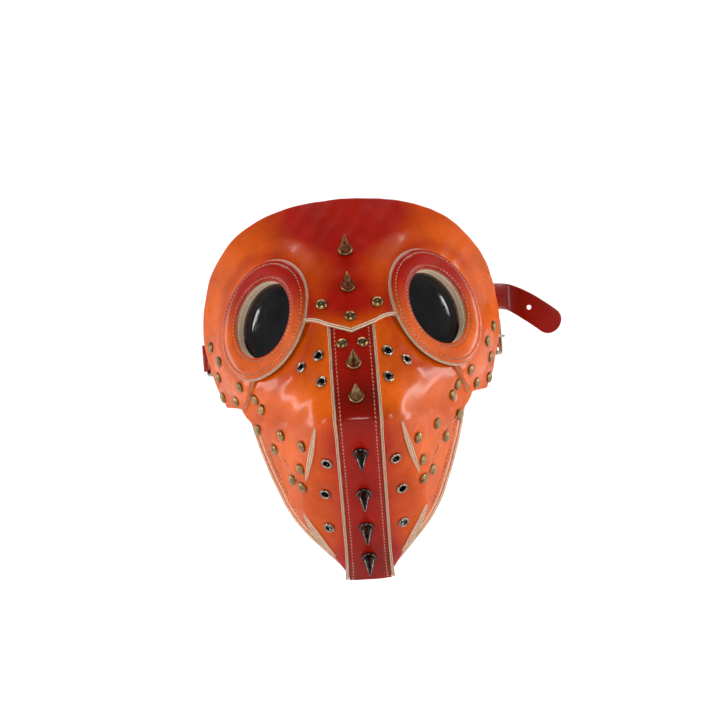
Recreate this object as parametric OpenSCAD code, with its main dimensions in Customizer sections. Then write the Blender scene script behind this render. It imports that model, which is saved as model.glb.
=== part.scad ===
// Beaked leather costume mask with round goggle eyes, studs and a head strap.
// The mask faces -Y, +Z is up and the wearer's left is +X. The origin lies at eye
// height between the temples, on the plane where the mask meets the head.

/* [Mask shell] */
// Depth from the nose root at eye height back to the temples
shell_depth = 110; // [90:1:132]
// Height of the forehead's top edge above eye height
top_height = 82; // [68:1:98]
// Widest half width, at the temples
half_width = 111; // [93:1:133]
// Thickness of the face and jaw leather
leather = 2.4; // [1.8:0.1:3]
// Thickness of the forehead leather
forehead_leather = 3; // [2:0.1:4]
// Height of the beak's bend below eye height
bend_drop = 73; // [68:1:80]

/* [Nose strip] */
// Width of the strip along the beak
strip_width = 27; // [22:0.5:34]
// Thickness of the strip
strip_leather = 1.6; // [1.2:0.1:2.4]

/* [Eyes] */
// Distance of each eye's centre from the middle
eye_x = 57.4; // [54:0.2:62]
// Clear opening of each eye
eye_bore = 56; // [46:0.5:58]
// Outer diameter of the padded leather ring
ring_d = 85; // [76:0.5:90]
// Thickness of the padded ring
ring_thick = 3.2; // [2:0.1:4.5]
// Wall of the layered leather rim under the ring
rim_wall = 2.2; // [1.5:0.1:3]
// Thickness of the lens
lens_thick = 2; // [1.2:0.1:3]

/* [Hardware] */
// Diameter of a spike's base
spike_d = 10.5; // [8:0.5:12]
// Length of a spike
spike_len = 18; // [14:0.5:24]
// Diameter of a dome rivet's head
rivet_d = 8; // [6:0.5:9]
// Outer diameter of an eyelet
eyelet_d = 8.3; // [7:0.1:9]
// Clear hole of an eyelet
eyelet_bore = 4.8; // [3.5:0.1:5.6]

/* [Strap and buckle] */
// Width of the head strap
strap_width = 20; // [16:0.5:22]
// Thickness of the head strap
strap_leather = 2.2; // [1.6:0.1:3]
// Diameter of the buckle and ring wire
wire_d = 3; // [2.4:0.1:3.4]
// Distance between the two bars of the buckle frame
buckle_len = 22; // [18:0.5:26]
// Distance between the two bars of the strap ring
ring_len = 17; // [15:0.5:20]
// Height of the temple tabs' centre
tab_z = -22; // [-26:0.5:-20]
// Height of the temple tabs
tab_width = 24; // [22:0.5:26]
// Length of tab beyond the rear edge, to the centre of its bar
tab_reach = 12; // [11:0.5:16]

/* [Hidden] */
// Air left between pieces of the same body, and round a turning bar
gap = 0.15;
run = 0.08;
$fn = 48;
ORANGE = [0.80, 0.30, 0.07];
RED = [0.55, 0.09, 0.04];
CREAM = [0.87, 0.72, 0.55];
BRASS = [0.55, 0.43, 0.20];
GUNMETAL = [0.20, 0.19, 0.19];
NICKEL = [0.70, 0.68, 0.64];

// ---- the mask's surface -------------------------------------------------------
function clamp01(v) = min(1, max(0, v));
function ease(a, b, v) = let (t = clamp01((v - a) / (b - a))) t * t * (3 - 2 * t);
function mix(a, b, t) = a + (b - a) * t;
function unit(v) = v / norm(v);
// A ramp that starts at zero with a soft corner of size k
function ramp(v, k) = (v + sqrt(v * v + k * k)) / 2;
// The larger of two values with a soft corner of size k
function soft_max(a, b, k) = (a + b + sqrt((a - b) * (a - b) + k * k)) / 2;

// The middle line leans back over the forehead and runs out to the bend, where the
// beak's underside turns back to the chin.
brow_slope = 0.62;
beak_slope = 0.84;
bend_soft = 3.5;
top_lean = 0.0012;
function middle_y(z) = soft_max(
    brow_slope * z + top_lean * pow(max(z, 0), 2),
    -brow_slope * bend_drop + beak_slope * (-bend_drop - z), bend_soft);

// Across the forehead and eyes each level is a parabola of this radius
function level_radius(z) = max(27, 52 + 0.24 * z - 0.0013 * z * z) * pow(half_width / 111, 2);

// Distance from the middle to the fold between beak and cheek
FOLD = [[-bend_drop, 27], [-116, 39.5], [-134, 42], [-150, 36], [-171, 23], [-187, 13.5]];
function fold_x(z) = lookup(-z, [for (f = FOLD) [-f[0], f[1]]]);
beak_flare = 0.5;
cheek_flare = 1.25;
fold_soft = 5;
function beak_side(x, z) =
    beak_flare * (ramp(x - strip_width / 2, fold_soft) - ramp(-strip_width / 2, fold_soft))
    + cheek_flare * (ramp(x - fold_x(z), fold_soft) - ramp(-fold_x(z), fold_soft));

function open_y(x, z) = middle_y(z)
    + mix(x * x / (2 * level_radius(z)), beak_side(abs(x), z), ease(-40, -78, z));

// A flat seat round each eye, sunk a little and blended into the shell around it
eye_seat_y = open_y(eye_x, 0) + 5;
eye_dx = 1.035;
eye_dz = 0.42;
function seat_y(x, z) = eye_seat_y + eye_dx * (abs(x) - eye_x) + eye_dz * z;
function seat_r(x, z) = norm([abs(x) - eye_x, z, eye_dx * (abs(x) - eye_x) + eye_dz * z]);
function front_y(x, z) = mix(seat_y(x, z), open_y(x, z), ease(34, 60, seat_r(x, z)));

// A point on the surface, its outward normal, and a point raised from it by h
step = 0.5;
function normal(x, z) = unit([
    (front_y(x + step, z) - front_y(x - step, z)) / (2 * step), -1,
    (front_y(x, z + step) - front_y(x, z - step)) / (2 * step)]);
function skin(x, z, h) = [x, front_y(x, z) - shell_depth, z] + normal(x, z) * h;

// ---- curves and panels --------------------------------------------------------
// A smooth curve through the points of c, with s from 0 to 1
function spline(a, b, c, d, t) = 0.5 * (2 * b + (c - a) * t
    + (2 * a - 5 * b + 4 * c - d) * t * t + (3 * b - a - 3 * c + d) * t * t * t);
function at(c, s) = let (n = len(c) - 1, k = min(n - 1, floor(s * n)), t = s * n - k)
    spline(c[max(0, k - 1)], c[k], c[k + 1], c[min(n, k + 2)], t);

// A closed slab from a grid of rows by cols points on two faces
function slab_faces(rows, cols, wrap = false) = let (n = rows * cols, r = wrap ? rows : rows - 1) concat(
    [for (i = [0:r - 1], j = [0:cols - 2]) let (a = i * cols + j, b = (i + 1) % rows * cols + j)
        [a, b, b + 1, a + 1]],
    [for (i = [0:r - 1], j = [0:cols - 2]) let (a = i * cols + j, b = (i + 1) % rows * cols + j)
        [n + a, n + a + 1, n + b + 1, n + b]],
    [for (i = [0:r - 1]) let (a = i * cols, b = (i + 1) % rows * cols) [a, n + a, n + b, b]],
    [for (i = [0:r - 1]) let (a = i * cols + cols - 1, b = (i + 1) % rows * cols + cols - 1)
        [a, b, n + b, n + a]],
    wrap ? [] : [for (j = [0:cols - 2]) [j, j + 1, n + j + 1, n + j]],
    wrap ? [] : [for (j = [0:cols - 2]) let (a = (rows - 1) * cols + j) [a, n + a, n + a + 1, a + 1]]);

// Splits a face of four corners into two triangles
function triangles(faces) = [for (f = faces) each [[f[0], f[1], f[2]], [f[0], f[2], f[3]]]];

// A panel between two edge curves, from height low to height high over the surface
module panel(edge_a, edge_b, rows, cols, low, high) {
    grid = [for (i = [0:rows], j = [0:cols])
        mix(at(edge_a, i / rows), at(edge_b, i / rows), j / cols)];
    points = concat([for (p = grid) skin(p[0], p[1], high)], [for (p = grid) skin(p[0], p[1], low)]);
    polyhedron(points, triangles(slab_faces(rows + 1, cols + 1)), convexity = 6);
}

// Carries its children to a place on the surface, with their Z along the normal
module seat(x, z, h = 0) {
    n = normal(x, z);
    u = unit(cross([0, 0, 1], n));
    v = cross(n, u);
    p = skin(x, z, h);
    multmatrix([[u[0], v[0], n[0], p[0]], [u[1], v[1], n[1], p[1]], [u[2], v[2], n[2], p[2]]])
        children();
}

module both_sides() {
    children();
    mirror([1, 0, 0]) children();
}

// ---- layers and places --------------------------------------------------------
// Heights over the surface: face leather from 0, then the strip, forehead and ring
face_top = leather;
over = leather + gap;
strip_top = over + strip_leather;
forehead_top = over + forehead_leather;
ring_top = forehead_top + gap + ring_thick;
jaw_low = -gap - leather;

// Outline of the shell as [x, z], from the top of the forehead to the flap's corner.
// The leather stands outside the surface, so its own thickness comes off the width.
w = (half_width - forehead_top) / 111;
OUTLINE = [[0, top_height], [28, top_height - 1.6], [53, top_height - 7], [74, top_height - 17],
    [93 * w, top_height - 31.5], [103 * w, 35], [108.5 * w, 17], [111 * w, -1], [110.5 * w, -15],
    [106.5 * w, -31],
    [101.5 * w, -46], [96 * w, -59]];
// Lower edge of the forehead, from the middle of the brow to the flap's corner
BROW = [[0, -14.5], [14, -9.3], [28, -4], [38, -12], [48, -20], [58, -29], [67, -38], [72, -47],
    [75.5, -55], [78, -61], [87 * w, -60.5], [96 * w - 1, -60]];
// Edges of a face panel, along the middle and along the cheek
MIDDLE = [for (z = [-4, -14, -26, -38, -52, -66, -80, -94, -112, -122, -136, -152, -172, -187]) [0.2, z]];
CHEEK = [[36, 4], [50, -14], [66, -28], [80, -36], [85, -50], [80, -66], [69, -78], [58, -92],
    [48, -110], [42.5, -121], [43, -135], [36, -151], [23, -171], [13.5, -186]];
// Edges of a jaw panel, under the cheek and along the outline
JAW_IN = [[72, -66], [62, -78], [51, -92], [41, -110], [36, -121], [36, -134], [29, -149],
    [17, -168], [9, -181]];
JAW_OUT = [[79, -65], [76, -78], [72, -93], [66, -111], [61.5, -122], [56.5, -134], [46, -151],
    [27, -172], [14, -185.5]];

// Rivet places as [x, z] on the left side
FLAP_RIVETS = [[95, -36], [93, -51]];
TAB_RIVETS = [[99.5, -14.5], [93, -25]];
SEAM_RIVETS = [[78.5, -43.5], [82.5, -54]];
CHEEK_RIVETS = [[70.5, -54], [66, -62], [53, -80], [38.5, -88]];
POINT_RIVETS = [[41, -104], [41, -117], [47.5, -112]];
JAW_RIVETS = [[59, -90], [70, -76]];
BROW_RIVETS = [[-19.5, 6], [19.5, 5], [0, -4]];
NOSE_RIVETS = [[-6.5, -22], [6.5, -22]];
// Eyelet places on the left side
SNOUT_EYELETS = [[23, -28], [35, -35], [22, -46]];
BEAK_EYELETS = [[23, -100], [26, -122], [25.5, -147]];
// Spike heights along the middle
BROW_SPIKES = [43, 17];
NOSE_SPIKES = [-36, -59];
BEAK_SPIKES = [-93, -122, -147, -170];

post_r = 1.5;
post_hole_r = 1.7;
screw_r = 2;
screw_head_r = 3.4;

// ---- panels -------------------------------------------------------------------
module round_holes(places, r) {
    for (p = places) seat(p[0], p[1], -8) cylinder(r = r, h = 24);
}

// The eye's hole through the panels, a little wider than the rim that stands in it
module eye_hole() {
    seat(eye_x, 0, -12) cylinder(r = eye_bore / 2 + rim_wall + 0.4, h = 40, $fn = 96);
}

module forehead_panel() {
    rows = 2 * ceil(half_width / 4);
    cols = ceil(half_width / 12.4);
    grid = [for (i = [-rows / 2:rows / 2], j = [0:cols])
        let (s = abs(i) / (rows / 2), p = mix(at(BROW, s), at(OUTLINE, s), j / cols))
        [i < 0 ? -p[0] : p[0], p[1]]];
    points = concat([for (p = grid) skin(p[0], p[1], forehead_top)],
        [for (p = grid) skin(p[0], p[1], over)]);
    color(ORANGE) difference() {
        polyhedron(points, triangles(slab_faces(rows + 1, cols + 1)), convexity = 6);
        both_sides() eye_hole();
        both_sides() round_holes(concat(FLAP_RIVETS, TAB_RIVETS, SEAM_RIVETS), post_hole_r);
        round_holes(BROW_RIVETS, post_hole_r);
        round_holes([for (z = BROW_SPIKES) [0, z]], screw_r + 0.1);
    }
}

module left_face_panel() {
    color(ORANGE) difference() {
        panel(MIDDLE, CHEEK, 39, 8, 0, face_top);
        eye_hole();
        round_holes(concat(SEAM_RIVETS, CHEEK_RIVETS, POINT_RIVETS, JAW_RIVETS), post_hole_r);
        round_holes(concat([BROW_RIVETS[2]], [NOSE_RIVETS[1]]), post_hole_r);
        round_holes([BROW_RIVETS[1]], post_hole_r);
        round_holes(concat(SNOUT_EYELETS, BEAK_EYELETS), eyelet_bore / 2 + 0.7);
        round_holes([for (z = concat(NOSE_SPIKES, BEAK_SPIKES)) [0, z]], screw_r + 0.1);
    }
}

module right_face_panel() {
    mirror([1, 0, 0]) left_face_panel();
}

module left_jaw_panel() {
    color(ORANGE) difference() {
        panel(JAW_IN, JAW_OUT, 32, 4, jaw_low, -gap);
        round_holes(concat(JAW_RIVETS, POINT_RIVETS, CHEEK_RIVETS), post_hole_r);
    }
}

module right_jaw_panel() {
    mirror([1, 0, 0]) left_jaw_panel();
}

// Black cloth backs the vents, clear of the eyelets' and rivets' backs
lining_high = -1.6;
lining_thick = 0.6;
SNOUT_CLOTH_IN = [[16, -20], [15.5, -38], [15.5, -55]];
SNOUT_CLOTH_OUT = [[33, -20], [44, -38], [31, -55]];
BEAK_CLOTH_IN = [[16, -92], [17, -120], [18, -151]];
BEAK_CLOTH_OUT = [[31, -92], [32, -120], [25.6, -151]];
module left_vent_lining() {
    color(GUNMETAL) {
        panel(SNOUT_CLOTH_IN, SNOUT_CLOTH_OUT, 10, 5, lining_high - lining_thick, lining_high);
        panel(BEAK_CLOTH_IN, BEAK_CLOTH_OUT, 14, 3, lining_high - lining_thick, lining_high);
    }
}

module right_vent_lining() {
    mirror([1, 0, 0]) left_vent_lining();
}

// The strip tucks against the brow's cut edge and runs over the bend to the tip
module nose_strip() {
    half = strip_width / 2;
    brow_z = [for (j = [0:6]) let (x = abs(j - 3) / 3 * half) -15.1 + x * 10.5 / 28];
    rows = 46;
    grid = [for (i = [0:rows], j = [0:6]) [(j - 3) / 3 * half, mix(brow_z[j], -187, i / rows)]];
    points = concat([for (p = grid) skin(p[0], p[1], over)], [for (p = grid) skin(p[0], p[1], strip_top)]);
    color(RED) difference() {
        polyhedron(points, triangles(slab_faces(rows + 1, 7)), convexity = 6);
        round_holes(NOSE_RIVETS, post_hole_r);
        round_holes([for (z = concat(NOSE_SPIKES, BEAK_SPIKES)) [0, z]], screw_r + 0.1);
    }
}

// ---- eyes ---------------------------------------------------------------------
// The padded ring follows the forehead, flat near the rim and bent at its outside
module left_eye_ring() {
    turns = 60;
    bands = 5;
    n = normal(eye_x, 0);
    u = unit([1, eye_dx, 0]);
    v = cross(u, n);
    r_in = eye_bore / 2 + 0.2;
    // Crown of the padding: thin at both edges, full in the middle
    function crown(t) = ring_thick * (0.45 + 0.55 * sqrt(max(0, 1 - pow(2 * t - 1, 4))));
    grid = [for (i = [0:turns - 1], j = [0:bands])
        let (a = 360 * i / turns, r = mix(r_in, ring_d / 2, j / bands), d = r * (cos(a) * u + sin(a) * v))
        [eye_x + d[0], d[2], j / bands]];
    points = concat(
        [for (p = grid) skin(p[0], p[1], forehead_top + gap)],
        [for (p = grid) skin(p[0], p[1], forehead_top + gap + crown(p[2]))]);
    color(ORANGE) polyhedron(points, triangles(slab_faces(turns, bands + 1, true)), convexity = 6);
}

module right_eye_ring() {
    mirror([1, 0, 0]) left_eye_ring();
}

// A turned ring about the eye's axis, from height low to height high
module eye_turning(r_in, r_out, low, high) {
    seat(eye_x, 0) rotate_extrude($fn = 96) translate([r_in, low]) square([r_out - r_in, high - low]);
}

rim_r = eye_bore / 2;
lens_r = rim_r + rim_wall - 0.2;
module left_eye_rim() {
    color(CREAM) eye_turning(rim_r, rim_r + rim_wall, 0.2, forehead_top);
}

module right_eye_rim() {
    mirror([1, 0, 0]) left_eye_rim();
}

// The lens is a shallow dome pressed between the rim and its retainer
dome_rise = 1.6;
module left_lens() {
    dome_r = (lens_r * lens_r + dome_rise * dome_rise) / (2 * dome_rise);
    inner_r = rim_r - 0.6;
    dome_low = (inner_r * inner_r) / (2 * dome_r);
    color([0.05, 0.05, 0.06]) seat(eye_x, 0) rotate_extrude($fn = 96) polygon(concat(
        [[0, -lens_thick], [lens_r, -lens_thick], [lens_r, 0], [inner_r, 0]],
        [for (k = [10:-1:0]) let (x = inner_r * k / 10) [x, 0.05 + dome_low - x * x / (2 * dome_r)]]));
}

module right_lens() {
    mirror([1, 0, 0]) left_lens();
}

retainer_thick = 2;
module left_lens_retainer() {
    color(ORANGE)
        eye_turning(rim_r - 3, lens_r + 3, -lens_thick - gap - retainer_thick, -lens_thick - gap);
}

module right_lens_retainer() {
    mirror([1, 0, 0]) left_lens_retainer();
}

// ---- dart welts ---------------------------------------------------------------
// Two raw leather edges sewn together, standing up along a dart
WELT_HEIGHT = 2.6;
WELT_LEAF = 1.15;
module welt(start, end, bow, base) {
    n = 10;
    along = unit([end[0] - start[0], end[1] - start[1]]);
    side = [along[1], -along[0]];
    for (leaf = [-1, 1]) {
        line = [for (i = [0:n]) let (t = i / n) mix(start, end, t) + side * bow * 4 * t * (1 - t)];
        taper = [for (i = [0:n]) 0.35 + 0.65 * sin(180 * i / n)];
        near = [for (i = [0:n]) line[i] + side * leaf * 0.08];
        far = [for (i = [0:n]) line[i] + side * leaf * (0.08 + WELT_LEAF * taper[i])];
        points = [for (i = [0:n]) each [
            skin(near[i][0], near[i][1], base), skin(far[i][0], far[i][1], base),
            skin(far[i][0], far[i][1], base + WELT_HEIGHT * taper[i]),
            skin(near[i][0], near[i][1], base + WELT_HEIGHT * taper[i])]];
        faces = concat([[0, 1, 2, 3], [4 * n + 3, 4 * n + 2, 4 * n + 1, 4 * n]],
            [for (i = [0:n - 1], k = [0:3]) let (a = 4 * i + k, b = 4 * i + (k + 1) % 4)
                [a, a + 4, b + 4, b]]);
        if (leaf > 0) polyhedron(points, triangles(faces), convexity = 4);
        else polyhedron(points, [for (f = triangles(faces)) [f[2], f[1], f[0]]], convexity = 4);
    }
}

module left_cheek_welt() {
    color(CREAM) welt([27.5, -75], [37.5, -112], 0, face_top + gap);
}

module right_cheek_welt() {
    mirror([1, 0, 0]) left_cheek_welt();
}

module left_chin_welt() {
    color(CREAM) welt([41.5, -136], [22, -169], -1.5, face_top + gap);
}

module right_chin_welt() {
    mirror([1, 0, 0]) left_chin_welt();
}

// ---- spikes, rivets and eyelets -----------------------------------------------
// A spike has a collar and a threaded hole that takes the screw from inside
module spike(z, h) {
    r = spike_d / 2;
    seat(0, z, h + gap) rotate_extrude() polygon([[1.3, 0], [r, 0], [r, 1.4], [r - 0.7, 2],
        [r - 0.9, 2.6], [0.5, spike_len - 0.5], [0, spike_len], [0, 5], [1.3, 5]]);
}

module brow_spikes() {
    color(BRASS) for (z = BROW_SPIKES) spike(z, forehead_top);
}

module nose_spikes() {
    color(BRASS) for (z = NOSE_SPIKES) spike(z, strip_top);
}

module beak_spikes() {
    color(GUNMETAL) for (z = BEAK_SPIKES) spike(z, strip_top);
}

// Screws with flat heads inside the mask, up through the leather into the spikes
module screw(z, low, high) {
    seat(0, z) {
        translate([0, 0, low - seat_gap - 1]) cylinder(r = screw_head_r, h = 1);
        translate([0, 0, low - seat_gap - 0.1]) cylinder(r = 1.2, h = high - low + seat_gap + 4.4);
    }
}

module spike_screws() {
    color(NICKEL) {
        for (z = BROW_SPIKES) screw(z, over, forehead_top);
        for (z = concat(NOSE_SPIKES, BEAK_SPIKES)) screw(z, 0, strip_top);
    }
}

// A dome rivet set through leather that lies between two heights. Its head and its
// back washer keep off the curved leather by the seat gap.
seat_gap = 0.5;
// How much further the seam rivets' washers lie behind the hollow leather by the eyes
seam_drop = 1.3;
module rivet(p, low, high) {
    r = rivet_d / 2;
    seat(p[0], p[1]) rotate_extrude($fn = 32) polygon(concat(
        [[0, low - seat_gap - 1], [r - 1.2, low - seat_gap - 1], [r - 1.2, low - seat_gap],
            [post_r, low - seat_gap], [post_r, high + seat_gap], [r - 0.3, high + seat_gap],
            [r, high + seat_gap + 0.3]],
        [for (a = [15:15:90]) [r * cos(a), high + seat_gap + 0.3 + 1.5 * sin(a)]]));
}

module rivets(places, low, high) {
    color(BRASS) for (p = places) rivet(p, low, high);
}

module brow_rivets() {
    rivets([BROW_RIVETS[0], BROW_RIVETS[1], BROW_RIVETS[2]], 0, forehead_top);
}

module nose_rivets() {
    rivets(NOSE_RIVETS, 0, strip_top);
}

module left_flap_rivets() {
    rivets(FLAP_RIVETS, over, forehead_top);
    rivets(TAB_RIVETS, tab_low, forehead_top);
}

module right_flap_rivets() {
    mirror([1, 0, 0]) left_flap_rivets();
}

module left_seam_rivets() {
    rivets(SEAM_RIVETS, -seam_drop, forehead_top);
}

module right_seam_rivets() {
    mirror([1, 0, 0]) left_seam_rivets();
}

module left_cheek_rivets() {
    rivets(CHEEK_RIVETS, 0, face_top);
    rivets(POINT_RIVETS, jaw_low, face_top);
}

module right_cheek_rivets() {
    mirror([1, 0, 0]) left_cheek_rivets();
}

module left_jaw_rivets() {
    rivets(JAW_RIVETS, jaw_low, face_top);
}

module right_jaw_rivets() {
    mirror([1, 0, 0]) left_jaw_rivets();
}

// An eyelet is a rolled flange outside and a barrel spread over the leather inside
module eyelet(p) {
    r = eyelet_d / 2;
    b = eyelet_bore / 2;
    seat(p[0], p[1]) rotate_extrude() polygon([[b, -1.3], [r - 0.8, -1.3], [r - 0.8, -0.8],
        [b + 0.5, -0.8], [b + 0.5, face_top + 0.4], [r, face_top + 0.4], [r, face_top + 0.8],
        [r - 0.5, face_top + 1.2], [b + 0.5, face_top + 1.2], [b, face_top + 0.8]]);
}

module left_snout_eyelets() {
    color(NICKEL) for (p = SNOUT_EYELETS) eyelet(p);
}

module right_snout_eyelets() {
    mirror([1, 0, 0]) left_snout_eyelets();
}

module left_beak_eyelets() {
    color(NICKEL) for (p = BEAK_EYELETS) eyelet(p);
}

module right_beak_eyelets() {
    mirror([1, 0, 0]) left_beak_eyelets();
}

// ---- temple tabs --------------------------------------------------------------
// Each tab lies inside the flap, follows it to the rear edge and ends in two loops
tab_thick = 2.2;
tab_low = -0.7 - tab_thick;
tab_edge_x = 108 * w;
function flat2(p) = [p[0], p[1]];
function tab_point(x, h) = flat2(skin(x, tab_z, 0)) + h * unit(flat2(normal(x, tab_z)));
tab_out = unit(tab_point(tab_edge_x, 0) - tab_point(tab_edge_x - 1, 0));
bar_xy = tab_point(tab_edge_x, tab_low + tab_thick / 2) + tab_out * tab_reach;
bar_r = wire_d / 2;
loop_r = bar_r + run + 1.8;
loop_len = 6;
prong_gap = 5;

module left_temple_tab() {
    outer = [for (k = [0:6]) tab_point(mix(87 * w, tab_edge_x, k / 6), tab_low + tab_thick)];
    inner = [for (k = [6:-1:0]) tab_point(mix(87 * w, tab_edge_x, k / 6), tab_low)];
    side = tab_thick / 2 * [tab_out[1], -tab_out[0]];
    color(RED) difference() {
        union() {
            translate([0, 0, tab_z - tab_width / 2]) linear_extrude(tab_width) polygon(concat(outer, inner));
            for (k = [0, 1]) translate([0, 0, tab_z + k * (loop_len + prong_gap) - loop_len - prong_gap / 2]) {
                linear_extrude(loop_len) polygon([
                    tab_point(tab_edge_x, tab_low + tab_thick / 2) + side - tab_out,
                    bar_xy + side, bar_xy - side,
                    tab_point(tab_edge_x, tab_low + tab_thick / 2) - side - tab_out]);
                translate([bar_xy[0], bar_xy[1], 0]) cylinder(r = loop_r, h = loop_len);
            }
        }
        translate([bar_xy[0], bar_xy[1], tab_z - tab_width]) cylinder(r = bar_r + run, h = 2 * tab_width);
        round_holes(TAB_RIVETS, post_hole_r);
    }
}

module right_temple_tab() {
    mirror([1, 0, 0]) left_temple_tab();
}

// ---- buckle, ring and strap ---------------------------------------------------
frame_half = strap_width / 2 + bar_r + 1;
corner_r = 3;

// A closed wire frame: two upright bars a distance len apart, joined by round corners
module wire_frame(len) {
    for (y = [0, len]) translate([0, y, corner_r - frame_half])
        cylinder(r = bar_r, h = 2 * (frame_half - corner_r));
    for (s = [-1, 1]) translate([0, corner_r, s * frame_half]) rotate([-90, 0, 0])
        cylinder(r = bar_r, h = len - 2 * corner_r);
    for (y = [0, 1], s = [-1, 1])
        translate([0, y * len + (1 - 2 * y) * corner_r, s * (frame_half - corner_r)])
            rotate([0, 90, 0]) rotate([0, 0, 90 * (y == 0 ? (s > 0 ? 2 : 3) : (s > 0 ? 1 : 0))])
                rotate_extrude(angle = 90) translate([corner_r, 0]) circle(r = bar_r, $fn = 24);
}

// The frames hang from the bars a little outward, more or less in line with the tabs
frame_turn = 14;
module at_bar() {
    translate([bar_xy[0], bar_xy[1], tab_z]) rotate([0, 0, -frame_turn]) children();
}

module left_buckle_frame() {
    color(BRASS) at_bar() wire_frame(buckle_len);
}

// The prong turns on the same bar, in the gap between the tab's loops, and its tip
// rests on the outside of the far bar
prong_r = 1.1;
module left_buckle_prong() {
    rest_x = bar_r + prong_r + 0.35;
    color(BRASS) at_bar() difference() {
        union() {
            translate([0, 0, -1.6]) cylinder(r = bar_r + 1.5, h = 3.2);
            translate([rest_x - 0.35, 0.5, 0]) rotate([-90, 0, 0]) cylinder(r = prong_r, h = buckle_len + 1.5);
            translate([rest_x - 0.35, buckle_len + 2, 0]) sphere(r = prong_r);
        }
        translate([0, 0, -3]) cylinder(r = bar_r + run, h = 6);
        translate([0, buckle_len, -3]) cylinder(r = bar_r + 0.3, h = 6);
    }
}

module right_strap_ring() {
    color(BRASS) mirror([1, 0, 0]) at_bar() wire_frame(ring_len);
}

// Route of the strap's middle line, from the ring's far bar round the head to the
// left temple, then the loose tail that springs outward
far_bar = [-bar_xy[0] - ring_len * sin(frame_turn), bar_xy[1] + ring_len * cos(frame_turn), tab_z];
// The strap's run follows the width of the mask
wide = half_width / 111;
ROUTE = [far_bar + [0, bar_r + run + 0.6, 0], far_bar + [0, 14, 2], [-111 * wide, 68, -12],
    [-82 * wide, 102, 0], [-42 * wide, 119, 6], [0, 124, 8], [42 * wide, 119, 9], [80 * wide, 102, 10],
    [103 * wide, 76, 10], [113 * wide, 52, 9], [117 * wide, 36, 8]];
TAIL = [[117 * wide, 36, 8], [117 * wide + 4, 25, 6.5], [117 * wide + 13, 17, 1], [117 * wide + 25, 13, -8],
    [117 * wide + 38, 11, -19]];

// A flat band along a route, with its end rounded when round_end is set
module band(route, pieces, round_end = false) {
    n = pieces;
    e = 0.002;
    half_w = strap_width / 2;
    half_t = strap_leather / 2;
    length = sum_length(route, 40);
    points = [for (i = [0:n]) let (
        s = i / n, p = at(route, s), t = unit(at(route, min(1, s + e)) - at(route, max(0, s - e))),
        up = unit([0, 0, 1] - t * t[2]), out = cross(t, up),
        left = (1 - s) * length / half_w,
        k = round_end && left < 1 ? sqrt(max(0.04, 1 - pow(1 - left, 2))) : 1)
        each [p + up * half_w * k + out * half_t, p + up * half_w * k - out * half_t,
            p - up * half_w * k - out * half_t, p - up * half_w * k + out * half_t]];
    faces = concat([[3, 2, 1, 0], [4 * n, 4 * n + 1, 4 * n + 2, 4 * n + 3]],
        [for (i = [0:n - 1], k = [0:3]) let (a = 4 * i + k, b = 4 * i + (k + 1) % 4) [a, b, b + 4, a + 4]]);
    polyhedron(points, triangles(faces), convexity = 4);
}

function sum_length(route, n, i = 1) = i > n ? 0
    : norm(at(route, i / n) - at(route, (i - 1) / n)) + sum_length(route, n, i + 1);

module back_strap() {
    color(RED) difference() {
        union() {
            band(ROUTE, 48);
            translate([far_bar[0], far_bar[1], tab_z - strap_width / 2])
                cylinder(r = bar_r + run + strap_leather, h = strap_width);
        }
        translate([far_bar[0], far_bar[1], tab_z - strap_width]) cylinder(r = bar_r + run, h = 2 * strap_width);
    }
}

// The tail's one punched hole, 27 mm from its end
hole_from_end = 27;
hole_d = 3.6;
module strap_tail() {
    s = 1 - hole_from_end / sum_length(TAIL, 40);
    p = at(TAIL, s);
    t = unit(at(TAIL, s + 0.01) - at(TAIL, s - 0.01));
    out = cross(t, unit([0, 0, 1] - t * t[2]));
    u = cross(out, t);
    color(RED) difference() {
        band([for (k = [0:4]) k == 0 ? mix(TAIL[0], TAIL[1], 0.14) : TAIL[k]], 30, true);
        multmatrix([[t[0], u[0], out[0], p[0]], [t[1], u[1], out[1], p[1]], [t[2], u[2], out[2], p[2]]])
            cylinder(d = hole_d, h = 12, center = true);
    }
}

forehead_panel();
left_face_panel();
right_face_panel();
left_jaw_panel();
right_jaw_panel();
nose_strip();
left_eye_ring();
right_eye_ring();
left_eye_rim();
right_eye_rim();
left_lens();
right_lens();
left_lens_retainer();
right_lens_retainer();
left_cheek_welt();
right_cheek_welt();
left_chin_welt();
right_chin_welt();
brow_spikes();
nose_spikes();
beak_spikes();
spike_screws();
brow_rivets();
nose_rivets();
left_flap_rivets();
right_flap_rivets();
left_seam_rivets();
right_seam_rivets();
left_cheek_rivets();
right_cheek_rivets();
left_jaw_rivets();
right_jaw_rivets();
left_snout_eyelets();
right_snout_eyelets();
left_beak_eyelets();
right_beak_eyelets();
left_temple_tab();
right_temple_tab();
left_buckle_frame();
left_buckle_prong();
right_strap_ring();
back_strap();
strap_tail();
left_vent_lining();
right_vent_lining();
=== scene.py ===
"""Looks of the beaked leather mask. Sizes are in millimetres until a mesh is made."""
import math

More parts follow.
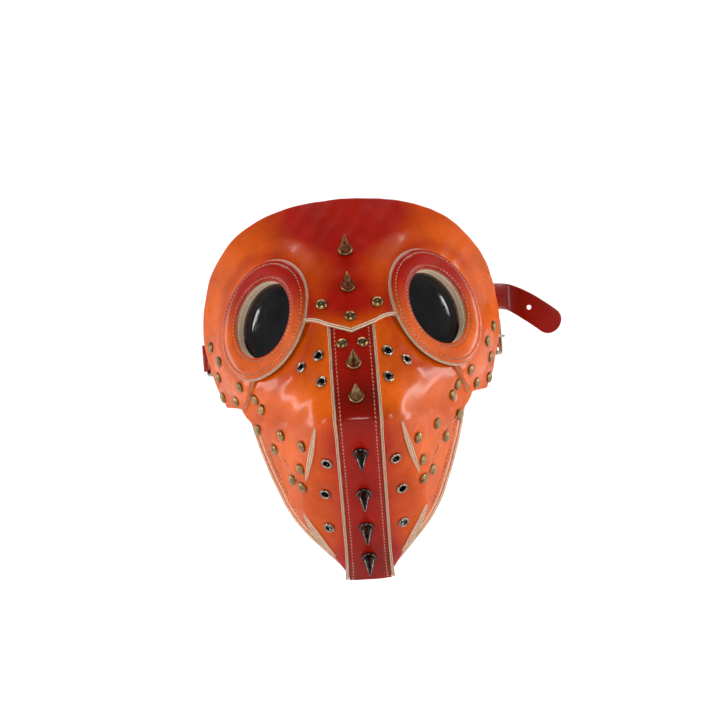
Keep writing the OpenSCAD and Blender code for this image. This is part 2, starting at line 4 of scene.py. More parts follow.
import bmesh
import bpy
import numpy as np
from mathutils import Matrix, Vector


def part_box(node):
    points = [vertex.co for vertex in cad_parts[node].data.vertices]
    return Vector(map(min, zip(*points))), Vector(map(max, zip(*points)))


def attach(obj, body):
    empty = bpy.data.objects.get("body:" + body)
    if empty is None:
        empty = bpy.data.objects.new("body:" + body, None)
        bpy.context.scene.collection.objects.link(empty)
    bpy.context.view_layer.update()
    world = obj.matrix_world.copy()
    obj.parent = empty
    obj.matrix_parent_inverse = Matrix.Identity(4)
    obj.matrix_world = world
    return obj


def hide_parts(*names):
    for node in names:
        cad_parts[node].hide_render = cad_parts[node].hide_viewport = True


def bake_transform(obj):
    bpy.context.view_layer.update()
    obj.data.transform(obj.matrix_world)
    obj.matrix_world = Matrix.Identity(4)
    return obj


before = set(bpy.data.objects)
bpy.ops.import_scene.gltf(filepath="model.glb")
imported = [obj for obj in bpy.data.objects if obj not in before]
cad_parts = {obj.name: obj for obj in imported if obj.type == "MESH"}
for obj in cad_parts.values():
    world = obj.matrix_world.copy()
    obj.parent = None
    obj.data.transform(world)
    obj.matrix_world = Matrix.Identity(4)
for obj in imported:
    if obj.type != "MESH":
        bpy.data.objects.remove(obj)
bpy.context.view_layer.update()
MM = 0.001

# ---- the mask's surface, by the same rules as the CAD -----------------------------
SHELL_DEPTH, TOP_HEIGHT, HALF_WIDTH = 110, 82, 111
LEATHER, FOREHEAD_LEATHER, STRIP_LEATHER, GAP = 2.4, 3.0, 1.6, 0.15
STRIP_WIDTH, BEND_DROP = 27, 73
EYE_X, EYE_BORE, RING_D, RING_THICK, RIM_WALL = 57.4, 56, 85, 3.2, 2.2
OVER = LEATHER + GAP
STRIP_TOP = OVER + STRIP_LEATHER
FOREHEAD_TOP = OVER + FOREHEAD_LEATHER
JAW_LOW = -GAP - LEATHER
BROW_SLOPE, BEAK_SLOPE, BEND_SOFT = 0.62, 0.84, 3.5
FRONT_SLOPE, SIDE_SLOPE = 0.5, 1.25  # of the beak's facets, the sides' on top of the front's
EYE_DX, EYE_DZ = 1.035, 0.42  # slope of the flat eye seat, outward and upward
SEAT_PROUD, SEAT_FLAT_R, SEAT_BLEND_R = 5, 34, 60  # the seat's rise, and where it starts and ends to blend
# Height and distance from the middle of the fold between the beak's front and its sides
FOLD = [(-BEND_DROP, 27), (-116, 39.5), (-134, 42), (-150, 36), (-171, 23), (-187, 13.5)]


def ease(a, b, v):
    t = np.clip((v - a) / (b - a), 0, 1)
    return t * t * (3 - 2 * t)


def ramp(v, k=5.0):
    """Zero for low v and v for high v, with a soft corner of width k."""
    return (v + np.sqrt(v * v + k * k)) / 2


def middle_y(z):
    """Depth of the middle line: it runs forward to the bend, then back to the tip."""
    upper = BROW_SLOPE * z + 0.0012 * np.maximum(z, 0) ** 2
    lower = -BROW_SLOPE * BEND_DROP + BEAK_SLOPE * (-BEND_DROP - z)
    return (upper + lower + np.sqrt((upper - lower) ** 2 + BEND_SOFT ** 2)) / 2


def open_y(x, z):
    """Depth of the surface before the eye seats: round above the bend, facets below it."""
    x = np.abs(x)
    radius = np.maximum(27, 52 + 0.24 * z - 0.0013 * z * z)
    fold = np.interp(-z, [-f[0] for f in FOLD], [f[1] for f in FOLD])
    beak = (FRONT_SLOPE * (ramp(x - STRIP_WIDTH / 2) - ramp(np.float64(-STRIP_WIDTH / 2)))
            + SIDE_SLOPE * (ramp(x - fold) - ramp(-fold)))
    w = ease(-40, -78, z)
    return middle_y(z) + (1 - w) * x * x / (2 * radius) + w * beak


EYE_SEAT_Y = open_y(np.float64(EYE_X), np.float64(0)) + SEAT_PROUD


def front_y(x, z):
    """Depth of the finished surface, with a flat seat round each eye."""
    tilt = EYE_DX * (np.abs(x) - EYE_X) + EYE_DZ * z
    r = np.sqrt((np.abs(x) - EYE_X) ** 2 + z * z + tilt ** 2)
    w = ease(SEAT_FLAT_R, SEAT_BLEND_R, r)
    return (1 - w) * (EYE_SEAT_Y + tilt) + w * open_y(x, z)


def normal(x, z):
    n = np.stack([front_y(x + 0.5, z) - front_y(x - 0.5, z), -np.ones_like(x * z),
                  front_y(x, z + 0.5) - front_y(x, z - 0.5)], -1)
    return n / np.linalg.norm(n, axis=-1, keepdims=True)


def skin(x, z, h):
    """Points raised along the surface's normal by h."""
    x, z = np.asarray(x, float), np.asarray(z, float)
    h = np.asarray(h, float)[..., None]
    return np.stack([x, front_y(x, z) - SHELL_DEPTH, z], -1) + normal(x, z) * h


def at(curve, s):
    """Points along the smooth curve through the given ones, s from 0 to 1."""
    c = np.asarray(curve, float)
    n = len(c) - 1
    k = np.minimum(n - 1, np.floor(s * n)).astype(int)
    t = (s * n - k)[..., None]
    p0, p1, p2, p3 = c[np.maximum(0, k - 1)], c[k], c[k + 1], c[np.minimum(n, k + 2)]
    return 0.5 * (2 * p1 + (p2 - p0) * t + (2 * p0 - 5 * p1 + 4 * p2 - p3) * t ** 2
                  + (3 * p1 - p0 - 3 * p2 + p3) * t ** 3)


W = (HALF_WIDTH - FOREHEAD_TOP) / 111
OUTLINE = [(0, TOP_HEIGHT), (28, TOP_HEIGHT - 1.6), (53, TOP_HEIGHT - 7), (74, TOP_HEIGHT - 17),
           (93 * W, TOP_HEIGHT - 31.5), (103 * W, 35), (108.5 * W, 17), (111 * W, -1), (110.5 * W, -15),
           (106.5 * W, -31), (101.5 * W, -46), (96 * W, -59)]
BROW = [(0, -14.5), (14, -9.3), (28, -4), (38, -12), (48, -20), (58, -29), (67, -38), (72, -47),
        (75.5, -55), (78, -61), (87 * W, -60.5), (96 * W - 1, -60)]
MIDDLE = [(0.2, z) for z in (-4, -14, -26, -38, -52, -66, -80, -94, -112, -122, -136, -152, -172, -187)]
CHEEK = [(36, 4), (50, -14), (66, -28), (80, -36), (85, -50), (80, -66), (69, -78), (58, -92),
         (48, -110), (42.5, -121), (43, -135), (36, -151), (23, -171), (13.5, -186)]
JAW_IN = [(72, -66), (62, -78), (51, -92), (41, -110), (36, -121), (36, -134), (29, -149),
          (17, -168), (9, -181)]
JAW_OUT = [(79, -65), (76, -78), (72, -93), (66, -111), (61.5, -122), (56.5, -134), (46, -151),
           (27, -172), (14, -185.5)]
FLAP_RIVETS = [(95, -36), (93, -51), (99.5, -14.5), (93, -25)]
SEAM_RIVETS = [(78.5, -43.5), (82.5, -54)]
CHEEK_RIVETS = [(70.5, -54), (66, -62), (53, -80), (38.5, -88), (41, -104), (41, -117), (47.5, -112)]
JAW_RIVETS = [(59, -90), (70, -76)]
CHEEK_WELT = ((27.5, -75), (37.5, -112))  # upper and lower end
CHIN_WELT = ((41.5, -136), (22, -169))
BROW_RIVETS = [(-19.5, 6), (19.5, 5), (0, -4)]
NOSE_RIVETS = [(-6.5, -22), (6.5, -22)]
SNOUT_EYELETS = [(23, -28), (35, -35), (22, -46)]
BEAK_EYELETS = [(23, -100), (26, -122), (25.5, -147)]
BROW_SPIKES, NOSE_SPIKES, BEAK_SPIKES = [43, 17], [-36, -59], [-93, -122, -147, -170]
EYE_HOLE_R, VENT_HOLE_R = 33.5, 3.0
SIDES = (("left", 1), ("right", -1))
TIP_Z, STITCH_INSET = -187, 2.3


# ---- materials --------------------------------------------------------------------
def nodes_of(name):
    mat = bpy.data.materials.new(name)
    mat.use_nodes = True
    return mat, mat.node_tree, mat.node_tree.nodes["Principled BSDF"]


def noise(tree, scale, detail=4.0):
    n = tree.nodes.new("ShaderNodeTexNoise")
    n.inputs["Scale"].default_value = scale
    n.inputs["Detail"].default_value = detail
    vector = tree.nodes.new("ShaderNodeTexCoord").outputs["Object"]
    tree.links.new(vector, n.inputs["Vector"])
    return n.outputs["Fac"]


def ramp_node(tree, fac, stops):
    r = tree.nodes.new("ShaderNodeValToRGB")
    els = r.color_ramp.elements
    while len(els) < len(stops):
        els.new(0.5)
    for e, (pos, col) in zip(els, stops):
        e.position = pos
        e.color = (*col, 1)
    tree.links.new(fac, r.inputs["Fac"])
    return r.outputs["Color"]


def attribute(tree, name):
    a = tree.nodes.new("ShaderNodeAttribute")
    a.attribute_name = name
    return a.outputs["Fac"]


def mixed(tree, fac, a, b, mode="MIX"):
    m = tree.nodes.new("ShaderNodeMix")
    m.data_type = "RGBA"
    m.blend_type = mode
    for socket, value in ((m.inputs[0], fac), (m.inputs[6], a), (m.inputs[7], b)):
        if isinstance(value, (int, float)):
            socket.default_value = value
        elif isinstance(value, tuple):
            socket.default_value = (*value, 1)
        else:
            tree.links.new(value, socket)
    return m.outputs[2]


def bump(tree, bsdf, height, distance, strength=0.6, base=None):
    b = tree.nodes.new("ShaderNodeBump")
    b.inputs["Distance"].default_value = distance
    b.inputs["Strength"].default_value = strength
    tree.links.new(height, b.inputs["Height"])
    if base is not None:
        tree.links.new(base, b.inputs["Normal"])
    tree.links.new(b.outputs["Normal"], bsdf.inputs["Normal"])
    return b.outputs["Normal"]


def leather(name, light, deep, rough=(0.26, 0.42), coat=0.22):
    """Glossy dyed leather: an attribute mixes light to deep, for deeper dye and for painted shade; pores
    and creases in bump.
    """
    mat, tree, bsdf = nodes_of(name)
    # The attribute carries deeper dye together with painted shade.
    base = mixed(tree, attribute(tree, "dye_and_shade"), light, deep)
    cloud = ramp_node(tree, noise(tree, 38, 6), [(0.3, (0.80, 0.74, 0.72)), (0.7, (1.1, 1.08, 1.05))])
    base = mixed(tree, 1.0, base, cloud, "MULTIPLY")
    fine = ramp_node(tree, noise(tree, 420, 3), [(0.35, (0.90, 0.86, 0.84)), (0.65, (1.04, 1.04, 1.04))])
    tree.links.new(mixed(tree, 0.7, base, fine, "MULTIPLY"), bsdf.inputs["Base Color"])
    r = tree.nodes.new("ShaderNodeMapRange")
    tree.links.new(noise(tree, 120, 5), r.inputs["Value"])
    r.inputs["From Min"].default_value = 0.3
    r.inputs["From Max"].default_value = 0.7
    r.inputs["To Min"].default_value = rough[0]
    r.inputs["To Max"].default_value = rough[1]
    tree.links.new(r.outputs["Result"], bsdf.inputs["Roughness"])
    pores = tree.nodes.new("ShaderNodeTexVoronoi")
    pores.inputs["Scale"].default_value = 1100
    tree.links.new(tree.nodes.new("ShaderNodeTexCoord").outputs["Object"], pores.inputs["Vector"])
    first = bump(tree, bsdf, pores.outputs["Distance"], 0.00006, 0.35)
    bump(tree, bsdf, noise(tree, 260, 6), 0.00016, 0.35, first)
    bsdf.inputs["Specular IOR Level"].default_value = 0.08
    bsdf.inputs["Coat Weight"].default_value = coat
    bsdf.inputs["Coat Roughness"].default_value = 0.13
    return mat


EDGE_LAYERS = 2


def raw_edge(name):
    """Cut leather edge: cream layers with dark lines, by attribute edge_t across it."""
    mat, tree, bsdf = nodes_of(name)
    mul = tree.nodes.new("ShaderNodeMath")
    mul.operation = "MULTIPLY"
    tree.links.new(attribute(tree, "edge_t"), mul.inputs[0])
    mul.inputs[1].default_value = 2 * math.pi * EDGE_LAYERS
    wave = tree.nodes.new("ShaderNodeMath")
    wave.operation = "COSINE"
    tree.links.new(mul.outputs[0], wave.inputs[0])
    lines = ramp_node(tree, wave.outputs[0], [(0.0, (0.32, 0.15, 0.09)), (0.22, (0.80, 0.55, 0.35)),
                                             (0.8, (0.95, 0.77, 0.57))])
    specks = ramp_node(tree, noise(tree, 700, 5), [(0.3, (0.72, 0.62, 0.58)), (0.62, (1.05, 1.03, 1.0))])
    tree.links.new(mixed(tree, 0.8, lines, specks, "MULTIPLY"), bsdf.inputs["Base Color"])
    bump(tree, bsdf, noise(tree, 900, 5), 0.00012, 0.5)
    bsdf.inputs["Roughness"].default_value = 0.55
    return mat


def suede(name):
    mat, tree, bsdf = nodes_of(name)
    col = ramp_node(tree, noise(tree, 160, 8), [(0.3, (0.30, 0.17, 0.10)), (0.7, (0.47, 0.29, 0.18))])
    tree.links.new(col, bsdf.inputs["Base Color"])
    bump(tree, bsdf, noise(tree, 1500, 6), 0.0002, 0.6)
    bsdf.inputs["Roughness"].default_value = 0.9
    bsdf.inputs["Sheen Weight"].default_value = 0.3
    return mat


def metal(name, bright, dark, rough, patina=0.5):
    """Plated metal with a darker patina in clouds and fine scratches."""
    mat, tree, bsdf = nodes_of(name)
    col = ramp_node(tree, noise(tree, 300, 6), [(0.5 - patina / 4, dark), (0.5 + patina / 4, bright)])
    tree.links.new(col, bsdf.inputs["Base Color"])
    bsdf.inputs["Metallic"].default_value = 1.0
    r = ramp_node(tree, noise(tree, 500, 4), [(0.3, (rough, rough, rough)),
                                              (0.7, (rough + 0.16, rough + 0.16, rough + 0.16))])
    tree.links.new(r, bsdf.inputs["Roughness"])
    bump(tree, bsdf, noise(tree, 1400, 3), 0.00003, 0.3)
    return mat


def glass_lens(name):
    """Smoked gloss plastic, almost black, with faint scuffs."""
    mat, tree, bsdf = nodes_of(name)
    col = ramp_node(tree, noise(tree, 60, 3), [(0.3, (0.004, 0.004, 0.005)), (0.7, (0.012, 0.012, 0.014))])
    tree.links.new(col, bsdf.inputs["Base Color"])
    r = ramp_node(tree, noise(tree, 220, 6), [(0.4, (0.03, 0.03, 0.03)), (0.75, (0.12, 0.12, 0.12))])
    tree.links.new(r, bsdf.inputs["Roughness"])
    bsdf.inputs["Specular IOR Level"].default_value = 0.3
    bsdf.inputs["Coat Weight"].default_value = 0.12
    bsdf.inputs["Coat Roughness"].default_value = 0.03
    return mat


def thread(name, light, dark):
    mat, tree, bsdf = nodes_of(name)
    col = ramp_node(tree, noise(tree, 900, 4), [(0.35, dark), (0.65, light)])
    tree.links.new(col, bsdf.inputs["Base Color"])
    bump(tree, bsdf, noise(tree, 2400, 2), 0.00008, 0.6)
    bsdf.inputs["Roughness"].default_value = 0.6
    return mat


def plain_noise(name, a, b, rough):
    mat, tree, bsdf = nodes_of(name)
    tree.links.new(ramp_node(tree, noise(tree, 30, 4), [(0.3, a), (0.7, b)]), bsdf.inputs["Base Color"])
    bsdf.inputs["Roughness"].default_value = rough
    return mat


ORANGE = leather("orange_leather", (0.72, 0.118, 0.003), (0.36, 0.007, 0.001))
RED = leather("red_leather", (0.36, 0.008, 0.001), (0.13, 0.003, 0.001))
EDGE = raw_edge("raw_edge")
SUEDE = suede("leather_flesh_side")
BRASS = metal("antique_brass", (0.36, 0.23, 0.10), (0.09, 0.055, 0.028), 0.24, 0.7)
GUNMETAL = metal("gunmetal", (0.12, 0.105, 0.10), (0.035, 0.03, 0.03), 0.14)
NICKEL = metal("nickel", (0.42, 0.37, 0.31), (0.14, 0.11, 0.09), 0.2)
STEEL = metal("zinc_steel", (0.55, 0.55, 0.56), (0.35, 0.35, 0.36), 0.3)
LENS = glass_lens("smoked_lens")
THREAD = thread("tan_thread", (0.72, 0.36, 0.20), (0.38, 0.11, 0.05))
CLOTH = plain_noise("lining_cloth", (0.006, 0.006, 0.006), (0.016, 0.016, 0.017), 0.9)
# Painted shade: dark discs that stand for the shade inside needle holes.
NEEDLE_HOLE_SHADE = plain_noise("needle_hole_shade", (0.03, 0.008, 0.004), (0.06, 0.012, 0.006), 0.8)


# ---- meshes -----------------------------------------------------------------------
def make_mesh(name, verts, faces, mats, face_mats=None, floats=None, body="mask",
              replaced=(), sharp=True):
    """A mesh object in metres that rides on a body; edges between materials stay sharp."""
    mesh = bpy.data.meshes.new(name)
    mesh.from_pydata((np.asarray(verts) * MM).tolist(), [], [tuple(int(i) for i in f) for f in faces])
    for m in mats:
        mesh.materials.append(m)
    if face_mats is not None:
        mesh.polygons.foreach_set("material_index", np.asarray(face_mats, np.int32))
    mesh.polygons.foreach_set("use_smooth", np.ones(len(mesh.polygons), bool))
    for key, values in (floats or {}).items():
        mesh.attributes.new(key, "FLOAT", "POINT").data.foreach_set("value", np.asarray(values, np.float32))
    if sharp and face_mats is not None:
        owner = {}
        for p in mesh.polygons:
            for k in p.edge_keys:
                owner.setdefault(k, set()).add(p.material_index)
        flags = [len(owner.get(tuple(sorted(e.vertices)), ())) > 1 for e in mesh.edges]
        mesh.attributes.new("sharp_edge", "BOOLEAN", "EDGE").data.foreach_set("value", flags)
    mesh.validate()
    obj = bpy.data.objects.new(name, mesh)
    bpy.context.scene.collection.objects.link(obj)
    if body:
        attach(obj, body)
    if replaced:
        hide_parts(*replaced)
    return obj


def dye_and_shade(x, z):
    """How deep the colour is, with painted shade: deeper towards the middle of the beak below the bend and
    on the jaw, both painted shade; deeper dye with a painted shadow at the top of the brow; darker in the
    brow's middle, in a band round each eye ring and towards the tip; and slow random tone.
    """
    x = np.abs(x)
    # Painted shade: deeper near the beak's middle below the bend, where the surface faces down.
    beak = np.exp(-(x / 27) ** 2) * ease(-60, -80, z)
    # Deeper dye with a painted shadow at the top of the brow; darker in the brow's middle.
    brow = ease(25, 80, z) * 0.8 * np.exp(-(x / 75) ** 2) + 0.85 * np.exp(-(x / 34) ** 2) * ease(-16, 4, z)
    ring = 0.35 * np.exp(-((np.hypot((x - EYE_X) * 1.44, z) - 45) / 5) ** 2)
    low = 0.35 * ease(-135, -180, z)
    # Painted shade on the jaw, which faces down.
    jaw = 0.3 * ease(52, 72, x) * ease(-80, -110, z)
    cloud = 0.08 * np.sin(x * 0.11 + z * 0.07) + 0.06 * np.sin(x * 0.05 - z * 0.13 + 2)
    return np.clip(beak + brow + ring + low + jaw + cloud + 0.1, 0, 1)


def relief(p, features):
    """Soft dents round fasteners, and the leather's slow waves."""
    h = 0.22 * np.sin(p[..., 0] * 0.16 + p[..., 2] * 0.05) * np.sin(p[..., 2] * 0.11 + 1.0)
    h += 0.10 * np.sin(p[..., 0] * 0.41 - p[..., 2] * 0.33)
    for centre, depth, reach in features:
        d = np.linalg.norm(p - centre, axis=-1)
        h += -depth * np.exp(-(d / reach) ** 2)
        h += 0.35 * depth * np.exp(-((d - 1.9 * reach) / (0.6 * reach)) ** 2)
    return h


def edge_round(d, r):
    """How far a surface drops at distance d from a rounded edge of radius r."""
    d = np.clip(d, 0, r)
    return r - np.sqrt(np.maximum(0, r * r - (r - d) ** 2))


def edge_columns(width, n, near=(0, 0.2, 0.5, 0.95)):
    """Column places from 0 to 1 for each row's width, with close ones at both edges."""
    near = np.array(near)[None, :] / width[:, None]
    inner = near[:, -1:] + (1 - 2 * near[:, -1:]) * np.linspace(0, 1, n)[None, 1:-1]
    return np.concatenate([near, inner, 1 - near[:, ::-1]], 1)


PANEL_ROUND = 0.8


def panel(name, a, b, rows, cols, low, high, replaced, holes=(), features=(), sign=1, mirror_rows=False):
    """A leather panel between edge curves a and b, with rounded edges and open holes."""
    s = np.linspace(-1, 1, rows) if mirror_rows else np.linspace(0, 1, rows)
    pa, pb = at(a, np.abs(s)), at(b, np.abs(s))
    flip = np.where(s < 0, -1.0, 1.0) if mirror_rows else np.full(rows, float(sign))
    width = np.linalg.norm(pb - pa, axis=1)
    t = edge_columns(width, cols)
    x = (pa[:, None, 0] * (1 - t) + pb[:, None, 0] * t) * flip[:, None]
    z = pa[:, None, 1] * (1 - t) + pb[:, None, 1] * t
    base = skin(x, z, high)
    top = relief(base, features)
    top -= edge_round(np.minimum(t, 1 - t) * width[:, None], PANEL_ROUND)
    up, down = skin(x, z, high + top), skin(x, z, low)
    r, c = x.shape
    keep = np.ones((r - 1, c - 1), bool)
    mid = (up[:-1, :-1] + up[1:, 1:]) / 2
    for centre, radius in holes:
        keep &= np.linalg.norm(mid - centre, axis=-1) > radius
    idx = np.arange(r * c).reshape(r, c)
    n = r * c
    quad = np.stack([idx[:-1, :-1], idx[:-1, 1:], idx[1:, 1:], idx[1:, :-1]], -1)[keep]
    if sign < 0 and not mirror_rows:
        quad = quad[:, ::-1]
    edges = {}
    for q in quad:
        for k in range(4):
            edges[(q[k], q[(k + 1) % 4])] = True
    rim = [(e[1], e[0], e[0] + n, e[1] + n) for e in edges if (e[1], e[0]) not in edges]
    faces = [tuple(q) for q in quad] + [tuple(q[::-1] + n) for q in quad] + rim
    kinds = [0] * len(quad) + [2] * len(quad) + [1] * len(rim)
    verts = np.concatenate([up.reshape(-1, 3), down.reshape(-1, 3)])
    used = np.zeros(len(verts), bool)
    used[np.unique(np.concatenate([np.asarray(f) for f in faces]))] = True
    remap = np.cumsum(used) - 1
    faces = [tuple(remap[list(f)]) for f in faces]
    tone = np.concatenate([dye_and_shade(x, z).ravel()] * 2)
    edge_t = np.concatenate([np.ones(n), np.zeros(n)])
    return make_mesh(name, verts[used], faces, (ORANGE, EDGE, SUEDE), kinds,
                     {"dye_and_shade": tone[used], "edge_t": edge_t[used]}, replaced=[replaced])


def seat(x, z, h=0.0):
    """Rotation columns and place of the surface at x, z."""
    n = normal(np.float64(x), np.float64(z))
    u = np.cross([0, 0, 1], n)
    u /= np.linalg.norm(u)
    return np.stack([u, np.cross(n, u), n], 1), skin(x, z, h)


def revolved(profile, seats, segments=40):
    """Vertices and faces of one profile of (r, h) turned at each seat."""
    profile = np.asarray(profile, float)
    a = np.linspace(0, 2 * np.pi, segments, endpoint=False)
    ring = np.stack([profile[:, None, 0] * np.cos(a), profile[:, None, 0] * np.sin(a),
                     np.repeat(profile[:, 1:2], segments, 1)], -1)
    m = len(profile)
    verts, faces = [], []
    for k, (rot, place) in enumerate(seats):
        verts.append(ring.reshape(-1, 3) @ rot.T + place)
        o = k * m * segments
        for i in range(m):
            for j in range(segments):
                i2, j2 = (i + 1) % m, (j + 1) % segments
                faces.append((o + i * segments + j, o + i * segments + j2,
                              o + i2 * segments + j2, o + i2 * segments + j))
    return np.concatenate(verts), faces


def merged(obj):
    """Joins vertices that meet at a pole and drops faces without area."""
    distance = 1e-6
    bm = bmesh.new()
    bm.from_mesh(obj.data)
    bmesh.ops.remove_doubles(bm, verts=bm.verts, dist=distance)
    bmesh.ops.dissolve_degenerate(bm, edges=bm.edges, dist=distance)
    bmesh.ops.recalc_face_normals(bm, faces=bm.faces)
    bm.to_mesh(obj.data)
    bm.free()
    return obj


def turned(name, profile, seats, mat, replaced, segments=40):
    verts, faces = revolved(profile, seats, segments)
    return merged(make_mesh(name, verts, faces, [mat], replaced=[replaced]))


# ---- leather panels ---------------------------------------------------------------
def dent(p, depth=0.8, reach=5.0, sign=1, h=0.0):
    return (skin(p[0] * sign, p[1], h), depth, reach)


def both(points):
    return [(sign * p[0], p[1]) for p in points for _, sign in SIDES]


def build_panels():
    eyes = [(skin(sign * EYE_X, 0, 5), EYE_HOLE_R + 1) for _, sign in SIDES]
    features = [dent(p, 0.7, 4.6, 1, 5) for p in both(FLAP_RIVETS + SEAM_RIVETS) + BROW_RIVETS]
    features += [dent((0, z), 0.7, 6, 1, 5) for z in BROW_SPIKES]
    panel("forehead_leather", BROW, OUTLINE, 321, 78, OVER, FOREHEAD_TOP, "forehead_panel", holes=eyes,
          features=features, mirror_rows=True)
    for side, sign in SIDES:
        holes = [(skin(sign * EYE_X, 0, 2), EYE_HOLE_R)]
        holes += [(skin(sign * p[0], p[1], LEATHER), VENT_HOLE_R) for p in SNOUT_EYELETS + BEAK_EYELETS]
        features = [dent(p, 0.75, 4.8, sign, LEATHER) for p in SEAM_RIVETS + CHEEK_RIVETS + JAW_RIVETS]
        features += [dent(p, 0.45, 5.2, sign, LEATHER) for p in SNOUT_EYELETS + BEAK_EYELETS]
        panel(f"{side}_face_leather", MIDDLE, CHEEK, 210, 66, 0, LEATHER, f"{side}_face_panel", holes=holes,
              features=features, sign=sign)
        features = [dent(p, 0.4, 4.0, sign, 0) for p in JAW_RIVETS]
        panel(f"{side}_jaw_leather", JAW_IN, JAW_OUT, 170, 24, JAW_LOW, -GAP, f"{side}_jaw_panel",
              features=features, sign=sign)


def build_strip():
    """The nose strip: its top edge follows the V brow, and a groove lies under each stitch row."""
    half = STRIP_WIDTH / 2
    s = np.linspace(0, 1, 210)
    u = np.concatenate([[-1, -0.985, -0.96, -0.93], np.linspace(-0.9, 0.9, 23), [0.93, 0.96, 0.985, 1]])
    x = np.repeat(u[None, :] * half, len(s), 0)
    start = -15.1 + np.abs(x) * 10.5 / 28
    z = start + (TIP_Z - start) * s[:, None]
    base = skin(x, z, STRIP_TOP)
    dents = [dent((0, k), 0.5, 5.5, 1, STRIP_TOP) for k in NOSE_SPIKES + BEAK_SPIKES]
    dents += [dent(p, 0.4, 4.0, 1, STRIP_TOP) for p in NOSE_RIVETS]
    top = 0.5 * relief(base, dents) - edge_round((1 - np.abs(u))[None, :] * half, 0.7)
    top -= 0.35 * np.exp(-((np.abs(x) - (half - STITCH_INSET)) / 0.8) ** 2)
    up, down = skin(x, z, STRIP_TOP + top), skin(x, z, OVER)
    r, c = x.shape
    idx = np.arange(r * c).reshape(r, c)
    n = r * c
    quad = np.stack([idx[:-1, :-1], idx[:-1, 1:], idx[1:, 1:], idx[1:, :-1]], -1).reshape(-1, 4)
    loop = list(idx[0, :]) + list(idx[1:, -1]) + list(idx[-1, -2::-1]) + list(idx[-2:0:-1, 0])
    rim = [(loop[(k + 1) % len(loop)], loop[k], loop[k] + n, loop[(k + 1) % len(loop)] + n)
           for k in range(len(loop))]
    faces = [tuple(q[::-1]) for q in quad] + [tuple(q + n) for q in quad] + [f[::-1] for f in rim]
    kinds = [0] * len(quad) + [2] * len(quad) + [1] * len(rim)
    # Deeper round the bend, which is painted shade, and deeper towards the tip.
    tone = np.clip(0.15 + 0.6 * np.exp(-((z + 60) / 16) ** 2) + 0.35 * ease(-130, -185, z), 0, 1).ravel()
    make_mesh("nose_strip_leather", np.concatenate([up.reshape(-1, 3), down.reshape(-1, 3)]), faces,
              (RED, EDGE, SUEDE), kinds,
              {"dye_and_shade": np.concatenate([tone, tone]), "edge_t": np.concatenate([np.ones(n), np.zeros(n)])},
              replaced=["nose_strip"])


# ---- raised edges, welts and stitches ---------------------------------------------
def ribbon(name, line, side, width, low, high, replaced=(), leaves=1, taper=False):
    """Raw leather edges standing along a line of (x, z), one behind the other to one side."""
    line = np.asarray(line, float)
    n = len(line)
    along = np.gradient(line, axis=0)
    along /= np.linalg.norm(along, axis=1, keepdims=True)
    across = np.stack([along[:, 1], -along[:, 0]], 1) * side
    k = 0.35 + 0.65 * np.sin(np.linspace(0, np.pi, n)) if taper else np.ones(n)
    leaf_air = 0.12
    prof = [(0, 0), (0, 0.72), (0.14, 0.93), (0.35, 1.0), (0.65, 1.0), (0.86, 0.93), (1, 0.72), (1, 0)]
    verts, faces, tones = [], [], []
    for leaf in range(leaves):
        start = leaf * (width + leaf_air)
        off = len(verts) * n
        for u, v in prof:
            p = line + across * ((start + u * width) * k)[:, None]
            verts.append(skin(p[:, 0], p[:, 1], low + (high - low) * v * k))
            tones.append(np.full(n, u))
        m = len(prof)
        for i in range(m):
            i2 = (i + 1) % m
            for j in range(n - 1):
                faces.append((off + i * n + j, off + i2 * n + j, off + i2 * n + j + 1, off + i * n + j + 1))
        faces.append(tuple(off + i * n for i in range(m))[::-1])
        faces.append(tuple(off + i * n + n - 1 for i in range(m)))
    obj = make_mesh(name, np.concatenate(verts), faces, [EDGE], floats={"edge_t": np.concatenate(tones)},
                    replaced=replaced)
    return merged(obj)


